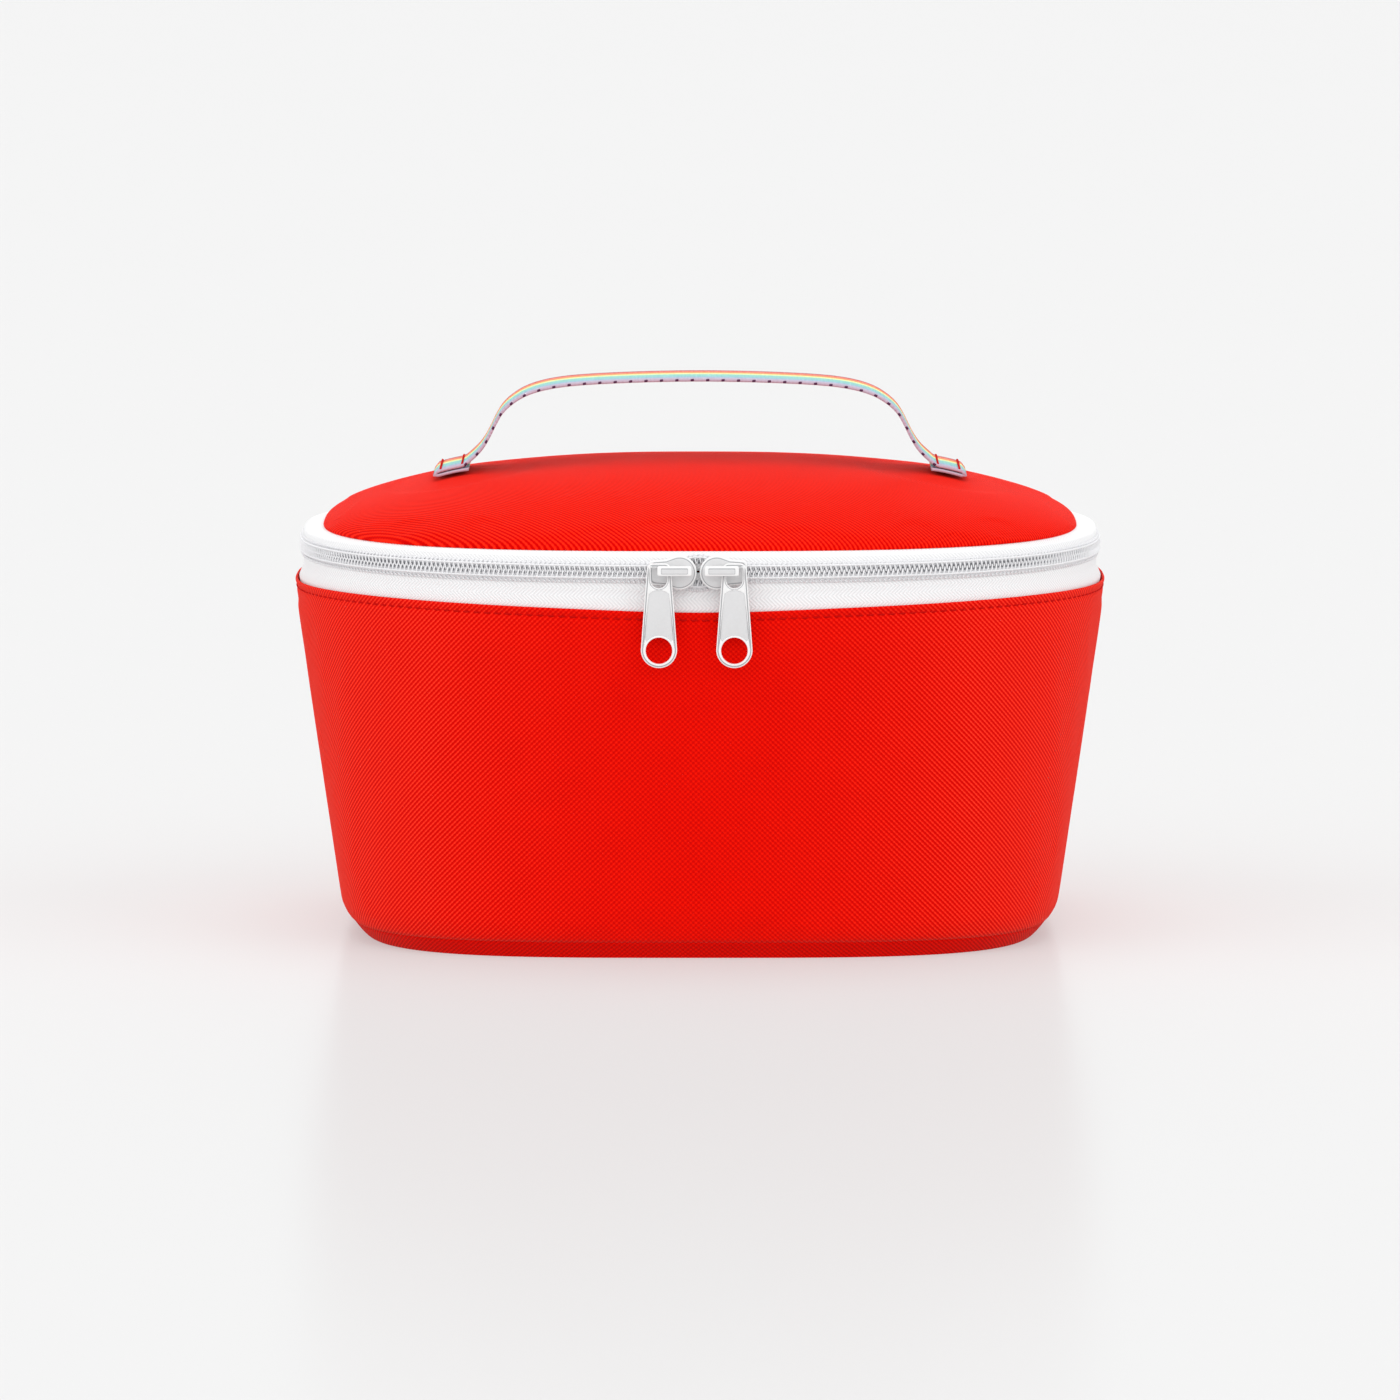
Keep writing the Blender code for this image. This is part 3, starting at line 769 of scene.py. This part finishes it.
def build_tapes():
    """Lower tape from the wall's hem to the coil, following the rim's wave; upper tape from coil to lid."""
    angles = zip_run(260)
    gap, upper_edge = 0.3 * MM, ZIP_Z + 3.8 * MM
    rows = [ring(section, angles, rim_wave(angles)) for section in tucked_sections()]
    levels = np.linspace(RIM_Z + 3 * MM, ZIP_Z - gap, 6)
    for z, wave in zip(levels, np.linspace(0.6, 0.0, 6)):
        rows.append(ring(zip_section(z), angles, rim_wave(angles) * wave))
    band("zip_tape_low", rows, TAPE, "tape", "pouch", ["zip_tape_lower"])
    sections = [zip_section(z) for z in np.linspace(ZIP_Z + gap, upper_edge, 4)]
    sections += edge_sections(upper_edge, (0.25, 0.5, 0.75, 1.0))
    rows = [ring(section, angles) for section in sections]
    band("zip_tape_high", rows, TAPE, "tape", "lid", ["zip_tape_upper"])


def spread(places, middle):
    """How far the coil halves part where the two sliders meet."""
    off = np.abs(places - middle)
    return 2.4 * MM * (1 - smooth_step(0.8 * MM, 7.5 * MM, off))


def build_coils():
    """Each half: a ground with woven ribs, grey behind the teeth as painted shade, the coil of teeth, a
    cord over its turns and a row of stitches.
    """
    path = ring(zip_section(ZIP_Z), zip_run(900))
    steps_per_turn = 12
    line, places = resample(path, ZIP_PITCH / steps_per_turn)
    normal = outward(line)
    parting = spread(places, places[-1] / 2 + SLIDER_SHIFT)
    for name, side, body, node, stitch_rise in (
        ("zip_coil_low", -1, "pouch", "zip_coil_lower", 2.7 * MM),
        ("zip_coil_high", 1, "lid", "zip_coil_upper", 2.2 * MM),
    ):
        def at(out, rise, every=1):
            """The zip's line moved outward, and away from the other half."""
            place = line + normal * out
            place[:, 2] += side * (rise + parting)
            return place[::every]

        turn = 2 * math.pi * places / ZIP_PITCH + (math.pi if side < 0 else 0.0)
        coil = line + normal * (0.5 * MM + 0.42 * MM * np.sin(turn))[:, None]
        coil[:, 2] += side * (0.8 * MM + parting + 1.0 * MM * np.cos(turn))
        add_piece(name, tube_mesh(name, coil, 0.23 * MM, 6), "coil", body, [node])
        coarse = 6
        rises = (-0.1 * MM, 1.4 * MM, stitch_rise + 0.4 * MM)
        # A thin sheet behind each coil, grey as painted shade between its turns.
        painted_shade_bed = np.array([at(0.1 * MM, rise, coarse) for rise in rises])
        piece = add_piece(name + "_bed", grid_mesh(name + "_bed", painted_shade_bed), "painted_shade_bed", body)
        thicken(piece, 0.15 * MM, offset=0.0)
        stitch = 0.85 * MM
        data = stitches(
            name + "_stitching", at(0.4 * MM, stitch_rise), normal,
            length=stitch, gap=ZIP_PITCH - stitch, radius=0.3 * MM, proud=0.0, slant=0.8 * side)
        add_piece(name + "_stitching", data, "thread_white", body)
        data = tube_mesh(name + "_cord", at(0.85 * MM, 1.62 * MM, coarse), 0.28 * MM, 8)
        add_piece(name + "_cord", data, "thread_white", body)


def build_hinge():
    """Canvas and lining that bridge pouch and lid at the back; the lining starts above the hem."""
    angles = hinge_run(80)
    upper_edge, shrink = ZIP_Z + 3.2 * MM, 1.1 * MM
    bridge = [zip_section(z) for z in np.linspace(RIM_Z + 3 * MM, upper_edge, 9)]
    bridge += edge_sections(upper_edge, (0.33, 0.66, 1.0))
    rows = [ring(section, angles) for section in tucked_sections() + bridge]
    outer = band("hinge_cloth", rows, 0.7 * MM, "canvas", None, ["hinge_panel"])
    rows = [ring((a - shrink, b - shrink, n, z), angles) for a, b, n, z in bridge]
    inner = band("hinge_lining_cloth", rows, 0.5 * MM, "foil", None, ["hinge_lining"])
    for piece in (outer, inner):
        apply_modifiers(piece)
        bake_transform(piece)


def build_inside():
    """Crinkled silver lining of the wall and, inside its lower edge, of the floor."""
    angles = full_turn(240)
    levels = np.linspace(LINING_FLOOR, RIM_Z - 1.8 * MM, 24)
    rows = np.array([ring(wall_section(z, LINING_INSET), angles) for z in levels])
    uneven = wobble(rows, size=0.7 * MM, scale=45, seed=3)
    rows += np.array([outward(row) for row in rows]) * uneven[..., None]
    rows[:, -1] = rows[:, 0]
    data = grid_mesh("wall_foil", rows, closed=True)
    piece = add_piece("wall_foil", data, "foil", "pouch", ["wall_lining"])
    thicken(piece, 0.5 * MM)
    a, b, n, z = wall_section(LINING_FLOOR, LINING_INSET + 0.2 * MM)
    shares = np.linspace(0.02, 0.97, 20)
    rows = [ring((a * share, b * share, n, z - 0.3 * MM), angles) for share in shares]
    rows.append(ring((a, b, n, z + 0.3 * MM), angles))
    rows = np.array(rows)
    rows[:-1, :, 2] += wobble(rows[:-1], size=0.25 * MM, scale=50, seed=5)
    rows[:, -1] = rows[:, 0]
    data = grid_mesh("base_foil", rows, closed=True)
    mesh = fill_middle(data)
    bmesh.ops.reverse_faces(mesh, faces=[face for face in mesh.faces if face.normal.z < 0])
    mesh.to_mesh(data)
    mesh.free()
    data.shade_smooth()
    piece = add_piece("base_foil", data, "foil", "pouch", ["base_lining"])
    thicken(piece, 0.4 * MM, even=False)


# Lid.

def square_to_disc(count):
    """Directions and shares of the radius for a square grid bent onto a disc."""
    ticks = np.linspace(-1, 1, count)
    u, v = np.meshgrid(ticks, ticks)
    share = np.maximum(np.abs(u), np.abs(v))
    wide = np.abs(u) >= np.abs(v)
    safe_u = np.where(u == 0, 1e-12, u)
    safe_v = np.where(v == 0, 1e-12, v)
    angle = np.where(
        wide,
        np.where(u >= 0, 0, 180) + 45 * v / safe_u,
        np.where(v >= 0, 90, 270) - 45 * u / safe_v,
    )
    return angle, share


def strap_lift(x, y):
    """The strap's pull raises the cloth a little round each foot."""
    along, across = (np.abs(x) - FOOT_INNER) / (11 * MM), y / (26 * MM)
    return 1.4 * MM * np.exp(-along ** 2) * np.exp(-across ** 2)


def dome_height(share):
    return LID_Z + DOME_RISE * (1 - share ** 2) ** DOME_POWER


def dome(angle, share, lift=1.0):
    """Lid surface over a share of the outline's reach, with a share of the strap's lift."""
    held = np.clip(share, 0, 1)
    distance = reach(LID_A, LID_B, LID_N, angle) * held
    turn = np.radians(angle)
    x, y = distance * np.cos(turn), distance * np.sin(turn)
    return np.stack([x, y, dome_height(held) + lift * strap_lift(x, y)], axis=-1)


def eased_disc(count):
    """Directions, shares set closer together near the edge, where the dome is steep, and plain shares."""
    angle, share = square_to_disc(count)
    return angle, np.sin(share * math.pi / 2) ** 0.92, share


def build_lid():
    """Padded canvas dome, and the silver lining that hangs a foam's thickness below it."""
    angle, eased, share = eased_disc(141)
    data = grid_mesh("lid_canvas", dome(angle, eased))
    layer = data.uv_layers["weave"]
    flat = np.array([data.vertices[loop.vertex_index].co.xy for loop in data.loops])
    layer.data.foreach_set("uv", flat.reshape(-1).astype(np.float32))
    piece = add_piece("lid_canvas", data, "lid", "lid", ["lid_panel"])
    edge = np.nonzero(share.reshape(-1) > PINNED)[0]
    inflate(piece, edge, pressure=1.5, cap=0.4 * MM, slack=0.006)
    thicken(piece, CANVAS)
    angle, eased, share = eased_disc(81)
    eased *= 1 - 6 * MM / LID_A
    inner = dome(angle, eased, lift=0.0)
    step, depth, hem_inset = 0.001, 5.75 * MM, 1.5 * MM
    fall = dome(angle, eased + step, lift=0.0)[..., 2] - inner[..., 2]
    slope = fall / (step * reach(LID_A, LID_B, LID_N, angle))
    uneven = wobble(inner, size=0.5 * MM, scale=40, seed=8)
    inner[..., 2] -= (depth + uneven) * np.sqrt(1 + slope ** 2)
    hem = share > PINNED
    inner[hem, :2] = outline(LID_A - hem_inset, LID_B - hem_inset, LID_N, angle[hem])
    inner[hem, 2] = LID_Z - 0.6 * MM
    data = grid_mesh("lid_foil", inner)
    piece = add_piece("lid_foil", data, "foil", "lid", ["lid_lining"])
    thicken(piece, 0.4 * MM, even=False)


# Strap.

def arch_line():
    """The strap's arch in X and Z: corners listed in mm, then cut into a smooth line."""
    half = [(65.0, 128.9), (61.2, 132.2), (58.9, 135.7), (56.6, 140.6), (54.8, 143.6), (51.9, 146.2)]
    half += [(48.0, 148.5), (42.2, 150.2), (33.9, 151.3), (17.0, 152.1)]
    points = half + [(0.0, 152.4)] + [(-x, z) for x, z in reversed(half)]
    line = np.array(points) * MM
    for _ in range(3):
        cut = [line[0]]
        for first, second in zip(line, line[1:]):
            cut.append(first * 0.75 + second * 0.25)
            cut.append(first * 0.25 + second * 0.75)
        cut.append(line[-1])
        line = np.array(cut)
    return line


def foot_z(x):
    """Height of the lid's cloth under the middle of the strap."""
    return dome_height(abs(x) / LID_A) + strap_lift(x, 0.0)


def ribbon(name, line, half_width):
    """Webbing along a line in the XZ plane, back edge first."""
    places = np.linspace(half_width, -half_width, 15)
    points = np.array([[(x, y, z) for x, z in line] for y in places])
    return grid_mesh(name, points)


def build_strap():
    """Striped webbing over the arch, folded double at each foot, with edge stitches and bar tacks."""
    line = arch_line()
    fold, end = 72.7 * MM, 73.7 * MM
    outer = [(x, foot_z(x) + 2.3 * MM) for x in np.linspace(fold, 66.4 * MM, 6)]
    under = [(x, foot_z(x) + 1.15 * MM) for x in np.linspace(64.2 * MM, fold, 6)]
    right = np.array(under + [(end, foot_z(end) + 1.6 * MM)] + outer)
    left = right[::-1] * np.array([-1, 1])
    whole, _ = resample(np.concatenate([right, line, left]), 0.8 * MM)
    nodes = ["handle_strap", "strap_leg_left", "strap_leg_right", "strap_foot_left", "strap_foot_right"]
    data = ribbon("carry_strap", whole, STRAP_HALF_WIDTH)
    piece = add_piece("carry_strap", data, "webbing", None, nodes)
    thicken(piece, 1.25 * MM, offset=0.0)
    arch, _ = resample(line, 0.8 * MM)
    front = np.array([(x, -STRAP_HALF_WIDTH, z) for x, z in arch])
    facing = np.tile([0.0, -1.0, 0.0], (len(front), 1))
    data = stitches(
        "strap_edging", front, facing,
        length=1.5 * MM, gap=2.8 * MM, radius=0.4 * MM, proud=-0.15 * MM, slant=0.12)
    edging = add_piece("strap_edging", data, "thread_plum", None)
    for item in (piece, edging):
        apply_modifiers(item)
        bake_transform(item)
    half = STRAP_HALF_WIDTH - 1.2 * MM
    for side, label in ((-1, "left"), (1, "right")):
        for index, x in enumerate((FOOT_INNER, FOOT_OUTER)):
            row = np.array([(side * x, y, foot_z(x) + 2.95 * MM) for y in np.linspace(-half, half, 60)])
            up = np.tile([side * 0.25, 0.0, 0.97], (len(row), 1))
            name = f"bar_tack_{label}_{index}"
            data = stitches(
                name, row, up, length=1.6 * MM, gap=0.25 * MM, radius=0.35 * MM, proud=-0.05 * MM)
            add_piece(name, data, "thread_red", "lid")


# Sliders and pulls.

def flat_curve(name, outlines, thickness, bevel):
    """Flat plate in the XZ plane with rounded edges, from closed outlines in metres."""
    data = bpy.data.curves.new(name, 'CURVE')
    data.dimensions = '2D'
    data.fill_mode = 'BOTH'
    data.extrude = thickness / 2 - bevel
    data.bevel_depth = bevel
    data.bevel_resolution = 2
    data.offset = -bevel
    for points in outlines:
        spline = data.splines.new('POLY')
        spline.points.add(len(points) - 1)
        for point, (x, z) in zip(spline.points, points):
            point.co = (x, z, 0.0, 1.0)
        spline.use_cyclic_u = True
    item = bpy.data.objects.new(name, data)
    bpy.context.scene.collection.objects.link(item)
    bpy.context.view_layer.update()
    plate = bpy.data.meshes.new_from_object(item.evaluated_get(bpy.context.evaluated_depsgraph_get()))
    bpy.data.objects.remove(item, do_unlink=True)
    mesh = bmesh.new()
    mesh.from_mesh(plate)
    bmesh.ops.remove_doubles(mesh, verts=mesh.verts, dist=0.001 * MM)
    bmesh.ops.transform(mesh, matrix=Matrix.Rotation(math.pi / 2, 4, 'X'), verts=mesh.verts)
    mesh.to_mesh(plate)
    mesh.free()
    face_outward(plate)
    plate.set_sharp_from_angle(angle=math.radians(50))
    return plate


def arc(x, z, radius, first, last, steps):
    """Points round a centre from one direction to another, in degrees."""
    turns = np.radians(np.linspace(first, last, steps + 1))
    return [(x + radius * math.cos(turn), z + radius * math.sin(turn)) for turn in turns]


def rounded_box(x0, x1, z0, z1, radius):
    points = arc(x1 - radius, z1 - radius, radius, 0, 90, 5)
    points += arc(x0 + radius, z1 - radius, radius, 90, 180, 5)
    points += arc(x0 + radius, z0 + radius, radius, 180, 270, 5)
    points += arc(x1 - radius, z0 + radius, radius, 270, 360, 5)
    return points


def plates(layers):
    """Plates stacked along Y, each with outlines in mm, its middle's Y, thickness, bevel and material."""
    parts = []
    for outlines, y, thickness, bevel, material in layers:
        scaled = [[(x * MM, z * MM) for x, z in points] for points in outlines]
        mesh = flat_curve("plate", scaled, thickness * MM, bevel * MM)
        mesh.materials.append(MATERIALS[material])
        parts.append((mesh, Matrix.Translation((0, y * MM, 0))))
    return parts


def slider_teardrop(side, inset):
    """Outline of the slider's plate in mm: round towards the middle of the zip, narrower at the tail."""
    shift, level = SLIDER_SHIFT / MM, ZIP_Z / MM
    centre, radius = 5.0, 4.6 - inset
    points = arc(centre, level, radius, 68, 292, 30)
    tail, half = 13.2 - inset, 3.3 - inset
    waist = centre + 3.6
    low = arc(tail - 1.0, level - half + 1.0, 1.0, 270, 360, 5)
    high = arc(tail - 1.0, level + half - 1.0, 1.0, 0, 90, 5)
    points += [(waist, level - half - 0.25)] + low + high + [(waist, level + half + 0.25)]
    return [(shift + side * x, z) for x, z in points]


def build_sliders():
    """Two mirrored sliders: a rimmed plate, a bar on two legs in front of it and an inner plate; their grey
    groove and recess plates are painted shade.
    """
    shift, level = SLIDER_SHIFT / MM, ZIP_Z / MM
    for side, label in ((-1, "left"), (1, "right")):
        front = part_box("slider_" + label)[0].y / MM

        def box(x0, x1, z0, z1, radius):
            return [(shift + side * x, z) for x, z in rounded_box(x0, x1, z0, z1, radius)]

        plate_front = front + 4.0
        low, high = level - 0.5, level + 2.1
        peg = [(shift + side * x, z) for x, z in arc(10.2, level + 0.5, 0.6, 0, 337, 15)]
        # The grey groove and panel plates are painted shade.
        parts = plates((
            ([slider_teardrop(side, 0.0)], plate_front + 0.55, 1.1, 0.3, "plastic"),
            ([slider_teardrop(side, 0.45)], plate_front - 0.02, 0.3, 0.1, "groove_painted_shade"),
            ([slider_teardrop(side, 0.7)], plate_front - 0.12, 0.5, 0.14, "plastic_painted_shade"),
            ([box(1.8, 11.0, low, high, 0.5)], front + 0.6, 1.2, 0.25, "plastic"),
            ([box(2.8, 10.0, low + 0.5, high - 0.5, 0.2)], front + 0.06, 0.3, 0.06, "groove_painted_shade"),
            ([box(2.9, 9.9, low + 0.6, high - 0.75, 0.2)], front, 0.3, 0.08, "plastic_painted_shade"),
            ([box(2.0, 3.4, low + 0.3, high - 0.3, 0.4)], front + 2.4, 3.2, 0.2, "plastic"),
            ([peg], front + 2.4, 3.4, 0.1, "plastic"),
            ([box(3.0, 12.6, level - 3.4, level + 2.6, 1.2)], front + 8.05, 0.9, 0.2, "plastic"),
            ([box(4.5, 8.5, level - 0.3, level + 0.3, 0.2)], front + 6.3, 3.4, 0.05, "plastic"),
        ))
        body = "slider_" + label
        name = body + "_body"
        add_piece(name, join_meshes(name, parts), "plastic", body, [body])
        build_pull(label)


def pull_outline(x, top, length, inset):
    """Outline of the pull in mm: narrow and round-cornered at the top, wide and round at the bottom."""
    half_width = 4.9
    half_top, corner = 3.3 - inset, 1.8 - inset
    points = arc(x, top - length + half_width, half_width - inset, 180, 360, 28)
    points += arc(x + half_top - corner, top - inset - corner, corner, 0, 90, 8)
    points += arc(x - half_top + corner, top - inset - corner, corner, 90, 180, 8)
    return points


def build_pull(label):
    """Flat pull with a stepped border, a panel of painted shade, a round hole near its end and an eye at
    its top; the grey line in the border's step is painted shade too.
    """
    low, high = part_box("pull_" + label)
    x = (low.x + high.x) / 2 / MM - 0.4        # both pulls hang a little left of their nodes
    y = (low.y + high.y) / 2 / MM
    top, length = high.z / MM, (high.z - low.z) / MM
    hole_z = low.z / MM + 4.7
    pivot = ZIP_Z / MM + 0.5

    def hole(radius):
        return arc(x, hole_z, radius, 0, 352.5, 47)

    def eye(grow):
        half, roof = 2.2 + grow, pivot + 1.0 + grow
        return arc(x, pivot - 2.3, half, 180, 360, 16) + [(x + half, roof), (x - half, roof)]

    window = arc(x, hole_z, 4.15, 150, 30, 14)
    window = [(x - 3.9, hole_z + 3.2)] + window[1:-1] + [(x + 3.9, hole_z + 3.2)]
    window += arc(x, pivot - 9.0, 4.0, 48, 132, 14)
    full, groove, border = (pull_outline(x, top, length, inset) for inset in (0.0, 0.3, 0.6))
    # The grey groove and panel plates are painted shade.
    parts = plates((
        ([full, hole(3.6), eye(0.0)], y + 0.1, 1.1, 0.2, "plastic"),
        ([groove, hole(3.9), eye(0.3)], y - 0.44, 0.2, 0.04, "groove_painted_shade"),
        ([border, hole(3.65), eye(0.45), window], y - 0.5, 0.36, 0.12, "plastic"),
        ([window], y - 0.42, 0.3, 0.1, "plastic_painted_shade"),
    ))
    body = "pull_" + label
    name = body + "_tab"
    add_piece(name, join_meshes(name, parts), "plastic", body, [body])


# Carried-over nodes and studio.

def dress_nodes():
    """Foam and rim binding stay as CAD solids and only get materials."""
    wanted = {
        "wall_foam": "foam",
        "base_foam": "foam",
        "lid_foam": "foam",
        "body_rim_binding": "binding",
    }
    for node, material in wanted.items():
        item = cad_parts[node]
        if not item.material_slots:
            item.data.materials.append(MATERIALS[material])
        for place in item.material_slots:
            place.material = MATERIALS[material]


def add_studio():
    """Pale floor with a faint sheen under an even sky, soft side lights and a soft light from behind."""
    nodes = Nodes("studio_floor", 0.9)
    white = (1.0, 1.0, 1.0, 1.0)
    nodes.colour(nodes.mix(nodes.noise(3.0, 1.0), darker(white, 0.348), darker(white, 0.352)))
    nodes.shader.inputs["Specular IOR Level"].default_value = 0.0
    nodes.shader.inputs["Emission Color"].default_value = white
    nodes.shader.inputs["Emission Strength"].default_value = 0.405
    gloss = nodes.add("ShaderNodeBsdfGlossy")
    gloss.inputs["Roughness"].default_value = 0.22
    blend = nodes.add("ShaderNodeMixShader")
    blend.inputs["Fac"].default_value = 0.05
    nodes.link(nodes.shader.outputs["BSDF"], blend.inputs[1])
    nodes.link(gloss.outputs["BSDF"], blend.inputs[2])
    nodes.link(blend.outputs["Shader"], nodes.tree.nodes["Material Output"].inputs["Surface"])
    data = bpy.data.meshes.new("studio_floor")
    corners = [(30.0 * x, 30.0 * y, 0.0) for x, y in ((-1, -1), (1, -1), (1, 1), (-1, 1))]
    data.from_pydata(corners, [], [(0, 1, 2, 3)])
    data.materials.append(nodes.material)
    floor = bpy.data.objects.new("studio_floor", data)
    bpy.context.scene.collection.objects.link(floor)
    world = bpy.data.worlds.new("studio")
    bpy.context.scene.world = world
    world.use_nodes = True
    sky = world.node_tree.nodes["Background"]
    sky.inputs["Color"].default_value = white
    sky.inputs["Strength"].default_value = 0.66
    for name, strength, direction, spread_angle in (
        ("left", 0.9, (-0.85, -0.35, 0.45), 60),
        ("right", 0.9, (0.85, -0.35, 0.45), 60),
        ("front", 0.55, (0.0, -0.75, 0.65), 50),
        ("above", 0.55, (0.0, 0.2, 0.98), 40),
        ("behind", 0.9, (0.0, 0.99, 0.14), 40),
    ):
        lamp = bpy.data.lights.new(name, 'SUN')
        lamp.energy = strength
        lamp.angle = math.radians(spread_angle)
        item = bpy.data.objects.new(name, lamp)
        item.rotation_euler = Vector(direction).to_track_quat('Z', 'Y').to_euler()
        bpy.context.scene.collection.objects.link(item)


bpy.context.scene.view_settings.view_transform = 'Standard'
build_wall()
build_base()
build_tapes()
build_coils()
build_hinge()
build_inside()
build_lid()
build_strap()
build_sliders()
dress_nodes()
add_studio()
